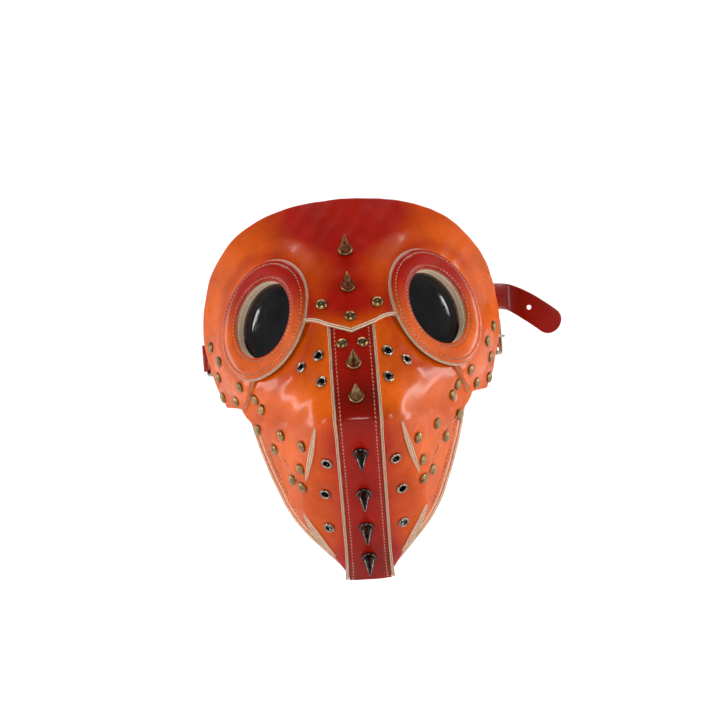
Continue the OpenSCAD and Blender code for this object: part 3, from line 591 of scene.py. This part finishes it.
def stitches(name, points, normals, pitch=3.1, length=2.3, body="mask", lean=0.2):
    """A row of thread stitches with a dark disc between each two, the painted shade of a needle hole."""
    radius, sink = 0.42, 0.1
    points, normals = np.asarray(points), np.asarray(normals)
    step = np.linalg.norm(np.diff(points, axis=0), axis=1)
    run = np.concatenate([[0], np.cumsum(step)])
    count = max(2, int(run[-1] / pitch))
    verts, faces, kinds = [], [], []
    ring = np.linspace(0, 2 * np.pi, 8, endpoint=False)
    stations = [(-1, 0.0), (-0.86, 0.62), (-0.45, 1.0), (0.45, 1.0), (0.86, 0.62), (1, 0.0)]

    def capsule(centre, along, up, half, r, flat, kind):
        side = np.cross(along, up)
        o = len(verts)
        for s, k in stations:
            for a in ring:
                spoke = side * np.cos(a) + up * np.sin(a) * flat
                verts.append(centre + along * s * half + spoke * r * max(k, 0.03))
        for i in range(len(stations) - 1):
            for j in range(8):
                j2 = (j + 1) % 8
                faces.append((o + i * 8 + j, o + i * 8 + j2, o + i * 8 + 8 + j2, o + i * 8 + 8 + j))
                kinds.append(kind)
        faces.append(tuple(o + j for j in range(8))[::-1])
        faces.append(tuple(o + 40 + j for j in range(8)))
        kinds.extend([kind, kind])

    def place(d):
        p = np.array([np.interp(d, run, points[:, i]) for i in range(3)])
        n = np.array([np.interp(d, run, normals[:, i]) for i in range(3)])
        return p, n / np.linalg.norm(n)

    for k in range(count):
        d = (k + 0.5) * run[-1] / count
        p, n = place(d)
        q, _ = place(min(run[-1], d + 0.5))
        q0, _ = place(max(0, d - 0.5))
        along = q - q0
        along -= n * (along @ n)
        along /= np.linalg.norm(along)
        tilted = along + np.cross(n, along) * lean
        tilted /= np.linalg.norm(tilted)
        capsule(p + n * (radius * 0.55 - sink), tilted, n, length / 2, radius, 0.9, 0)
        # A dark disc on the surface: painted shade of the needle hole.
        e, en = place(min(run[-1], d + 0.5 * run[-1] / count))
        capsule(e + en * 0.02, along, en, radius, radius, 0.35, 1)
    return make_mesh(name, verts, faces, [THREAD, NEEDLE_HOLE_SHADE], kinds, sharp=False,
                     body=body)


def surface_row(name, x, z, h, **kw):
    x, z = np.asarray(x, float), np.asarray(z, float)
    return stitches(name, skin(x, z, h), normal(x, z), **kw)


def brow_edge(side, sign):
    edge = at(BROW, np.linspace(0.0, 0.30, 90)) * np.array([sign, 1.0])
    ribbon(f"{side}_brow_edge", edge, -sign, 2.1, OVER, FOREHEAD_TOP + 1.0)


def strip_trim(side, sign):
    """Stitches along the strip's edge, and the two raw edges beside it."""
    half, rows = STRIP_WIDTH / 2, 120
    row = np.full(rows, sign * (half - STITCH_INSET))
    surface_row(f"{side}_strip_stitches", row, np.linspace(-10.5, TIP_Z + 1, rows), STRIP_TOP - 0.45,
                lean=0.25 * sign)
    line = np.stack([np.full(rows, sign * (half + 0.25)), np.linspace(-9.4, TIP_Z + 1, rows)], 1)
    ribbon(f"{side}_strip_edging", line, -sign, 0.8, LEATHER - 0.2, STRIP_TOP + 0.75, leaves=2)


def welts(side, sign):
    """The dart seams of the cheek and the chin, two leaves each; the lower one bows outward."""
    t = np.linspace(0, 1, 24)[:, None]
    for part, (top, foot), bow in (("cheek", CHEEK_WELT, (0, 0)), ("chin", CHIN_WELT, (1.3, -0.8))):
        line = np.array(top) * (1 - t) + np.array(foot) * t
        line = (line + np.array(bow) * 4 * t * (1 - t) + np.array([0.9, 0.0])) * np.array([sign, 1.0])
        ribbon(f"{side}_{part}_welt_leaves", line, sign, 1.15, LEATHER - 0.3, LEATHER + GAP + 2.6,
               replaced=[f"{side}_{part}_welt"], leaves=2, taper=True)


def inset_from(edge, other):
    """Unit steps from points on one edge towards those on the other."""
    return (other - edge) / np.linalg.norm(other - edge, axis=1, keepdims=True)


def jaw_trim(side, sign):
    """Two raw layers and a row of stitches along the jaw's outer edge."""
    flip = np.array([sign, 1.0])
    s = np.linspace(0.02, 0.97, 130)
    outer = at(JAW_OUT, s)
    away = inset_from(outer, at(JAW_IN, s))
    for k, inset in enumerate((0.9, 3.4)):
        edge = (outer + away * inset) * flip
        ribbon(f"{side}_jaw_edge_layer_{k}", edge, sign, 0.9, -GAP - 0.3, 0.75 - 0.25 * k)
    row = (outer + away * 6.2) * flip
    surface_row(f"{side}_jaw_stitches", row[:, 0], row[:, 1], -GAP - 0.05)


def cheek_stitches(side, sign):
    s = np.linspace(0.40, 0.66, 60)
    cheek = at(CHEEK, s)
    row = (cheek + inset_from(cheek, at(MIDDLE, s)) * 2.6) * np.array([sign, 1.0])
    surface_row(f"{side}_cheek_stitches", row[:, 0], row[:, 1], LEATHER - 0.05)


def build_trim():
    for side, sign in SIDES:
        brow_edge(side, sign)
    for side, sign in SIDES:
        for trim in (strip_trim, welts, jaw_trim, cheek_stitches):
            trim(side, sign)


# ---- eyes -------------------------------------------------------------------------
def eye_polar(sign, r, a, h):
    """Points at radius r and angle a round an eye at height h, their normals and heights z."""
    n = normal(np.float64(EYE_X), np.float64(0))
    u = np.array([1, EYE_DX, 0]) / np.hypot(1, EYE_DX)
    v = np.cross(u, n)
    d = r[..., None] * (np.cos(a)[..., None] * u + np.sin(a)[..., None] * v)
    x, z = (EYE_X + d[..., 0]) * sign, d[..., 2]
    return skin(x, z, h), normal(x, z), z


STITCH_ROWS = (0.17, 0.83)  # across the padded ring


def ring_height(r, r_in, r_out):
    t = np.clip((r - r_in) / (r_out - r_in), 0, 1)
    crown = RING_THICK * (0.5 + 0.5 * np.sqrt(np.maximum(0, 1 - np.abs(2 * t - 1) ** 3.2)))
    for row in STITCH_ROWS:
        crown -= 0.65 * np.exp(-((t - row) / 0.045) ** 2)
    return FOREHEAD_TOP + GAP + crown


RING_IN, RING_OUT = EYE_BORE / 2 + 0.2, RING_D / 2
TURNS = 240  # columns round an eye ring


def ring_leather(side, sign):
    """The padded ring: crowned between its stitch rows, with small puckers and a slight sag."""
    bands = 30
    a = np.linspace(0, 2 * np.pi, TURNS, endpoint=False)
    u = np.concatenate([[0, 0.012, 0.03, 0.06], np.linspace(0.1, 0.9, bands - 8), [0.94, 0.97, 0.988, 1]])
    rr, aa = np.meshgrid(RING_IN + (RING_OUT - RING_IN) * u, a, indexing="ij")
    near_rows = sum(np.exp(-((u - t) / 0.08) ** 2) for t in STITCH_ROWS)
    pucker = 0.10 * np.sin(aa * 83) * near_rows[:, None]
    sag = 0.12 * np.sin(3 * aa + 0.7) + 0.08 * np.sin(7 * aa)
    h = ring_height(rr, RING_IN, RING_OUT) + pucker + sag * np.sin(np.pi * u)[:, None]
    top, _, z = eye_polar(sign, rr, aa, h)
    low, _, _ = eye_polar(sign, rr, aa, FOREHEAD_TOP + GAP - 0.1)
    m, n = rr.shape
    total = m * n
    faces, kinds = [], []
    for i in range(m - 1):
        for j in range(n):
            j2 = (j + 1) % n
            q = (i * n + j, i * n + j2, i * n + n + j2, i * n + n + j)
            faces.append(q if sign > 0 else q[::-1])
            faces.append(tuple(k + total for k in q[::-1]) if sign > 0 else tuple(k + total for k in q))
            kinds += [0, 2]
    for i in (0, m - 1):
        for j in range(n):
            q = (i * n + j, i * n + (j + 1) % n, i * n + (j + 1) % n + total, i * n + j + total)
            faces.append(q)
            kinds.append(1)
    # Darker on the ring's upper half and near its inner edge.
    deep = 0.15 + 0.85 * ease(-15, 25, z) + 0.3 * np.exp(-((u - 0.1) / 0.1) ** 2)[:, None]
    tone = np.clip(deep, 0, 1)
    obj = make_mesh(f"{side}_eye_ring_leather", np.concatenate([top.reshape(-1, 3), low.reshape(-1, 3)]),
                    faces, (ORANGE, EDGE, SUEDE), kinds,
                    {"dye_and_shade": np.tile(tone.ravel(), 2), "edge_t": np.repeat([1.0, 0.0], total)},
                    replaced=[f"{side}_eye_ring"])
    merged(obj)


def ring_stitches(side, sign):
    loop = np.linspace(0, 2 * np.pi, 260)
    for k, t in enumerate(STITCH_ROWS):
        r = np.full_like(loop, RING_IN + (RING_OUT - RING_IN) * t)
        p, n, _ = eye_polar(sign, r, loop, ring_height(r, RING_IN, RING_OUT) + 0.12)
        stitches(f"{side}_eye_stitches_{k}", p, n, pitch=2.9, length=2.1)


def ring_edges(side, sign):
    """Two thin raw layers under the ring's outer edge."""
    a = np.linspace(0, 2 * np.pi, TURNS, endpoint=False)
    for k, (extra, high) in enumerate(((0.5, 1.1), (1.1, 0.45))):
        prof_u = np.array([-0.8, -0.8, extra - 0.25, extra, extra])
        prof_h = np.array([-0.1, high, high, high - 0.25, -0.1])
        rr, aa = np.meshgrid(RING_OUT + prof_u, a, indexing="ij")
        p, _, _ = eye_polar(sign, rr, aa, FOREHEAD_TOP + np.repeat(prof_h[:, None], TURNS, 1))
        m = len(prof_u)
        faces = [(i * TURNS + j, i * TURNS + (j + 1) % TURNS, (i + 1) % m * TURNS + (j + 1) % TURNS,
                  (i + 1) % m * TURNS + j) for i in range(m) for j in range(TURNS)]
        merged(make_mesh(f"{side}_eye_ring_edge_{k}", p.reshape(-1, 3), faces, [EDGE],
                         floats={"edge_t": np.repeat([0.5, 0.6, 0.75, 1.0, 0.5], TURNS)}))


def rim_layers(side, sign):
    """The rim under the ring, a stack of raw leather layers."""
    r0, r1 = EYE_BORE / 2, EYE_BORE / 2 + RIM_WALL
    layers, around = 5, 120
    h0, h1 = 0.2, FOREHEAD_TOP - 0.15
    inner = []
    for k in range(layers):
        lo = h0 + (h1 - h0) * k / layers
        hi = h0 + (h1 - h0) * (k + 1) / layers
        inner += [(r0 + 0.35, lo), (r0 + 0.02, lo + 0.3), (r0, (lo + hi) / 2), (r0 + 0.02, hi - 0.3)]
    profile = inner + [(r0 + 0.4, h1), (r0 + 1.0, h1 + 0.15), (r1 - 0.5, h1), (r1, h1 - 0.4), (r1, h0)]
    verts, faces = revolved(profile, [seat(sign * EYE_X, 0)], around)
    groove = [k % 4 == 0 and k < 4 * layers for k in range(len(profile))]
    tone = np.repeat([0.25 if g else 0.5 for g in groove], around)
    merged(make_mesh(f"{side}_eye_rim_layers", verts, faces, [EDGE], floats={"edge_t": tone},
                     replaced=[f"{side}_eye_rim"]))


def lens_dome(side, sign):
    """The lens: a shallow dome that stands in the rim, with a flat edge and back."""
    lens_r = EYE_BORE / 2 + RIM_WALL - 0.2
    rise, steps = 1.6, 16
    dome = (lens_r ** 2 + rise ** 2) / (2 * rise)
    flat = EYE_BORE / 2 - 0.6
    prof = [(0.0, -2.0), (lens_r - 0.2, -2.0), (lens_r, -1.8), (lens_r, -0.05), (flat, -0.02)]
    for k in range(steps, -1, -1):
        r = flat * k / steps
        prof.append((r, 0.05 + flat ** 2 / (2 * dome) - r ** 2 / (2 * dome)))
    turned(f"{side}_lens_dome", prof, [seat(sign * EYE_X, 0)], LENS, f"{side}_lens", 120)


def build_eyes():
    for side, sign in SIDES:
        for piece in (ring_leather, ring_stitches, ring_edges, rim_layers, lens_dome):
            piece(side, sign)


# ---- metal ------------------------------------------------------------------------
RIVET_R, WASHER_R, POST_R = 4.0, 3.2, 1.5


def rivet(high, low):
    """Profile of a domed rivet whose head seats at high and whose washer lies under low."""
    angles = np.radians([20, 35, 50, 65, 78])
    dome = [(RIVET_R * math.cos(a), high + 0.35 + 1.75 * math.sin(a)) for a in angles]
    return ([(0.01, low - 1.3), (WASHER_R, low - 1.3), (WASHER_R, low - 0.3), (POST_R, low - 0.3),
             (POST_R, high + 0.1), (3.6, high + 0.05), (RIVET_R, high + 0.3), (RIVET_R, high + 0.7)]
            + dome + [(0.01, high + 2.12)])


def build_metal():
    spike = [(0.01, 0.15), (5.25, 0.15), (5.25, 1.2), (5.05, 1.5), (4.6, 1.7), (4.35, 2.2), (4.45, 2.6),
             (4.2, 3.4)]
    spike += [(4.2 * (1 - k) + 0.55 * k, 3.4 + 13.6 * k) for k in (0.2, 0.4, 0.6, 0.8, 0.97)]
    spike += [(0.5, 17.3), (0.3, 17.75), (0.01, 17.95)]
    for name, zs, top, mat, slot in (
            ("brow_spikes", BROW_SPIKES, FOREHEAD_TOP, BRASS, "antique_brass"),
            ("nose_spikes", NOSE_SPIKES, STRIP_TOP, BRASS, "antique_brass"),
            ("beak_spikes", BEAK_SPIKES, STRIP_TOP, GUNMETAL, "dark_spike")):
        turned(name + "_turned", spike, [seat(0, z, top) for z in zs], mat, name, 48)

    groups = [("brow_rivets", BROW_RIVETS, FOREHEAD_TOP, 0), ("nose_rivets", NOSE_RIVETS, STRIP_TOP, 0)]
    for side, sign in SIDES:
        for node, places, high, low in (("flap", FLAP_RIVETS, FOREHEAD_TOP, OVER - 1.0),
                                        ("seam", SEAM_RIVETS, FOREHEAD_TOP, -1.3),
                                        ("cheek", CHEEK_RIVETS, LEATHER, 0),
                                        ("jaw", JAW_RIVETS, LEATHER, JAW_LOW)):
            groups.append((f"{side}_{node}_rivets", [(sign * p[0], p[1]) for p in places], high, low))
        for node, places in (("snout", SNOUT_EYELETS), ("beak", BEAK_EYELETS)):
            t = LEATHER
            prof = [(2.4, -0.9), (3.5, -0.9), (3.5, -0.3), (2.9, -0.3), (2.9, t), (4.1, t - 0.05),
                    (4.15, t + 0.25), (3.95, t + 0.75), (3.5, t + 1.05), (3.0, t + 1.05), (2.6, t + 0.8),
                    (2.4, t + 0.3)]
            turned(f"{side}_{node}_eyelets_rolled", prof, [seat(sign * p[0], p[1]) for p in places], NICKEL,
                   f"{side}_{node}_eyelets")
    for name, places, high, low in groups:
        turned(name + "_domed", rivet(high - 0.1, low), [seat(p[0], p[1]) for p in places], BRASS, name,
               36)


# ---- strap ------------------------------------------------------------------------
STRAP_WIDTH, STRAP_LEATHER = 20, 2.2
BAR_R, BAR_AIR = 1.5, 0.08
HOLE_FROM_END, HOLE_R = 27, 1.8
ring_low, ring_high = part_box("right_strap_ring")
TAB_Z = -22
FAR_BAR = np.array([ring_low[0] / MM + BAR_R, ring_high[1] / MM - BAR_R, TAB_Z])
ROUTE = [FAR_BAR + [0, BAR_R + BAR_AIR + 0.6, 0], FAR_BAR + [0, 14, 2], (-111, 68, -12), (-82, 102, 0),
         (-42, 119, 6), (0, 124, 8), (42, 119, 9), (80, 102, 10), (103, 76, 10), (113, 52, 9),
         (117, 36, 8)]
TAIL = [(117, 36, 8), (121, 25, 6.5), (130, 17, 1), (142, 13, -8), (155, 11, -19)]


def across_band(t):
    """Directions up a band's width and out of its face, where it runs along t."""
    up = np.array([0, 0, 1.0]) - t * t[..., 2:3]
    up /= np.linalg.norm(up, axis=-1, keepdims=True)
    return up, np.cross(t, up)


def strap_band(name, centres, replaced, end_round=False):
    """A flat leather band with rounded edges along its middle line."""
    p = np.asarray(centres, float)
    n = len(p)
    t = np.gradient(p, axis=0)
    t /= np.linalg.norm(t, axis=1, keepdims=True)
    up, out = across_band(t)
    run = np.concatenate([[0], np.cumsum(np.linalg.norm(np.diff(p, axis=0), axis=1))])
    half_w = np.full(n, STRAP_WIDTH / 2)
    if end_round:
        left = np.clip((run[-1] - run) / (STRAP_WIDTH / 2), 0, 1)
        half_w = STRAP_WIDTH / 2 * np.sqrt(np.maximum(0.02, 1 - (1 - left) ** 2.4))
    ht = STRAP_LEATHER / 2
    across = np.array([-1, -0.96, -0.9, -0.6, -0.3, 0, 0.3, 0.6, 0.9, 0.96, 1])
    lift = ht - edge_round((1 - np.abs(across)) * STRAP_WIDTH / 2, 0.7)
    rows = []
    for w, h in list(zip(across, lift)) + list(zip(across[::-1], -lift[::-1])):
        rows.append(p + up * (w * half_w)[:, None] + out * h)
    m = len(rows)
    k = len(across)
    verts = np.stack(rows, 1).reshape(-1, 3)
    faces, kinds = [], []
    for i in range(n - 1):
        for j in range(m):
            j2 = (j + 1) % m
            faces.append((i * m + j, i * m + j2, (i + 1) * m + j2, (i + 1) * m + j))
            kinds.append(1 if j in (k - 1, m - 1) else 0)
    faces.append(tuple(range(m))[::-1])
    faces.append(tuple((n - 1) * m + j for j in range(m)))
    kinds += [1, 1]
    edge_t = np.tile([1.0] * k + [0.0] * k, n)
    tone = np.repeat(0.25 + 0.2 * np.sin(run * 0.05), m)
    obj = make_mesh(name, verts, faces, (RED, EDGE), kinds, {"edge_t": edge_t, "dye_and_shade": tone}, body=None,
                    replaced=replaced)
    merged(obj)
    return obj


def run_along(line):
    """Distance along a line of points, from its second point on."""
    return np.cumsum(np.linalg.norm(np.diff(line, axis=0), axis=1))


def punch_hole(tail):
    """Cuts the tail's one hole and keeps the cut mesh."""
    line = at(TAIL, np.linspace(0, 1, 400))
    run = np.concatenate([[0], run_along(line)])
    i = int(np.searchsorted(run, run[-1] - HOLE_FROM_END))
    t = line[i + 1] - line[i - 1]
    t /= np.linalg.norm(t)
    _, out = across_band(t)
    prof = [(0.01, -6), (HOLE_R, -6), (HOLE_R, 6), (0.01, 6)]
    verts, faces = revolved(prof, [(np.stack([t, np.cross(out, t), out], 1), line[i])], 32)
    punch = merged(make_mesh("strap_punch", verts, faces, [EDGE], body=None))
    cut = tail.modifiers.new("hole", "BOOLEAN")
    cut.object = punch
    cut.operation = "DIFFERENCE"
    cut.solver = "EXACT"
    bpy.context.view_layer.update()
    baked = bpy.data.meshes.new_from_object(tail.evaluated_get(bpy.context.evaluated_depsgraph_get()))
    tail.modifiers.clear()
    tail.data = baked
    bpy.data.objects.remove(punch)


def strap_fold():
    """The strap's fold round the ring's far bar."""
    a = np.radians(np.linspace(-250, 70, 40))
    ring_r = BAR_R + BAR_AIR + STRAP_LEATHER / 2
    verts, faces = [], []
    for ang in a:
        for r in (ring_r - STRAP_LEATHER / 2, ring_r + STRAP_LEATHER / 2):
            for zz in (-STRAP_WIDTH / 2, STRAP_WIDTH / 2):
                verts.append(FAR_BAR + [r * math.cos(ang), r * math.sin(ang), zz])
    for i in range(len(a) - 1):
        o = 4 * i
        faces += [(o, o + 1, o + 5, o + 4), (o + 2, o + 6, o + 7, o + 3), (o, o + 4, o + 6, o + 2),
                  (o + 1, o + 3, o + 7, o + 5)]
    faces += [(0, 2, 3, 1), tuple(4 * (len(a) - 1) + k for k in (0, 1, 3, 2))]
    merged(make_mesh("strap_fold", verts, faces, [RED], floats={"dye_and_shade": np.full(len(verts), 0.3)},
                     body="head_strap"))


def fold_stitches():
    """Two rows of stitches across the strap, on both faces, that close the fold."""
    route = at(ROUTE, np.linspace(0, 1, 260))
    for k, from_ring in enumerate((16, 26)):
        i = int(np.searchsorted(run_along(route), from_ring))
        t = route[i + 1] - route[i]
        t /= np.linalg.norm(t)
        up, out = across_band(t)
        rows = np.array([route[i] + up * w for w in np.linspace(-8, 8, 20)])
        for face, s in (("out", 1), ("in", -1)):
            stitches(f"strap_stitches_{k}_{face}", rows + out * s * (STRAP_LEATHER / 2 - 0.1),
                     np.repeat((out * s)[None, :], 20, 0), body="head_strap")


def build_strap():
    joint = 0.93  # where the tail's band starts on the route
    main = strap_band("head_strap_band", at(ROUTE, np.linspace(0, joint, 240)), ["back_strap"])
    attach(main, "head_strap")
    end = np.concatenate([at(ROUTE, np.linspace(joint, 1, 16))[:-1], at(TAIL, np.linspace(0, 1, 90))])
    tail = strap_band("strap_tail_band", end, ["strap_tail"], end_round=True)
    punch_hole(tail)
    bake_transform(tail)
    strap_fold()
    fold_stitches()


# ---- carried-over CAD nodes -------------------------------------------------------
def dress_cad():
    finish = {"left_temple_tab": RED, "right_temple_tab": RED, "left_buckle_frame": BRASS,
              "left_buckle_prong": BRASS, "right_strap_ring": BRASS, "left_lens_retainer": SUEDE,
              "right_lens_retainer": SUEDE, "spike_screws": STEEL, "left_vent_lining": CLOTH,
              "right_vent_lining": CLOTH}
    for name, mat in finish.items():
        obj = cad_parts[name]
        if not obj.data.materials:
            obj.data.materials.append(mat)
        for s in obj.material_slots:
            s.material = mat
        bevel = obj.modifiers.new("soft_edges", "BEVEL")
        bevel.width = 0.0003
        bevel.segments = 2
        bevel.limit_method = "ANGLE"


# ---- camera, floor and light ------------------------------------------------------
VIEW_DISTANCE, VIEW_WIDTH, VIEW_ROLL = 1.6, 0.518, -4.4  # metres, metres and degrees


def build_camera():
    cam = bpy.data.cameras.new("camera")
    cam.sensor_width = 36
    cam.lens = cam.sensor_width * VIEW_DISTANCE / VIEW_WIDTH
    eye = bpy.data.objects.new("camera", cam)
    bpy.context.scene.collection.objects.link(eye)
    eye.matrix_world = (Matrix.Translation((0.0044, -VIEW_DISTANCE - 0.06, -0.032))
                        @ Matrix.Rotation(math.radians(90), 4, "X")
                        @ Matrix.Rotation(math.radians(VIEW_ROLL), 4, "Z"))
    bpy.context.scene.camera = eye


def build_floor():
    """A pale sweep: flat floor, quarter-round cove and backdrop. Sizes are in metres."""
    mesh = bpy.data.meshes.new("floor")
    size, depth, low, cove, high, steps = 3.0, 1.2, -0.30, 0.6, 3, 8
    verts = [(-size, -size, low), (size, -size, low), (-size, depth, low), (size, depth, low)]
    faces = [(0, 1, 3, 2)]
    for k in range(1, steps + 1):
        a = math.radians(90 * k / steps)
        o = len(verts)
        y, z = depth + cove * math.sin(a), low + cove * (1 - math.cos(a))
        verts += [(-size, y, z), (size, y, z)]
        faces.append((o - 2, o - 1, o + 1, o))
    verts += [(-size, depth + cove, high), (size, depth + cove, high)]
    o = len(verts)
    faces.append((o - 4, o - 3, o - 1, o - 2))
    mesh.from_pydata(verts, [], faces)
    mesh.polygons.foreach_set("use_smooth", [True] * len(faces))
    floor = bpy.data.objects.new("floor", mesh)
    floor.data.materials.append(plain_noise("pale_floor", (0.86, 0.86, 0.86), (0.90, 0.90, 0.90), 0.8))
    bpy.context.scene.collection.objects.link(floor)


def area(name, place, target, size_x, size_y, power):
    """A rectangular lamp at a place, aimed at a target."""
    data = bpy.data.lights.new(name, "AREA")
    data.shape = "RECTANGLE"
    data.size, data.size_y, data.energy = size_x, size_y, power
    lamp = bpy.data.objects.new(name, data)
    z = np.array(place) - np.array(target)
    z = z / np.linalg.norm(z)
    x = np.cross([0, 0, 1], z)
    x = x / np.linalg.norm(x)
    rot = Matrix(np.stack([x, np.cross(z, x), z], 1).tolist()).to_4x4()
    lamp.matrix_world = Matrix.Translation(place) @ rot
    bpy.context.scene.collection.objects.link(lamp)


def build_lamps():
    mask = (0, -0.05, -0.05)
    area("softbox_left", (-1.55, -0.75, 0.35), mask, 0.2, 1.1, 11)
    area("softbox_right", (1.55, -0.75, 0.35), mask, 0.2, 1.1, 10)
    area("edge_left", (-1.5, 0.45, 0.0), mask, 0.18, 1.3, 8)
    area("edge_right", (1.5, 0.45, 0.0), mask, 0.18, 1.3, 10)
    area("front_fill", (0.05, -2.3, 0.5), (0, 0, -0.06), 0.45, 0.3, 13)
    area("backdrop_light", (0, 0.75, 2.2), (0, 1.7, 0), 2.5, 0.8, 60)
    world = bpy.data.worlds.new("studio")
    world.use_nodes = True
    background = world.node_tree.nodes["Background"]
    background.inputs["Color"].default_value = (1, 1, 1, 1)
    background.inputs["Strength"].default_value = 0.14
    bpy.context.scene.world = world


def build_stage():
    build_camera()
    build_floor()
    build_lamps()
    bpy.context.scene.view_settings.view_transform = "Standard"


build_stage()
build_panels()
build_strip()
build_trim()
build_eyes()
build_metal()
build_strap()
dress_cad()
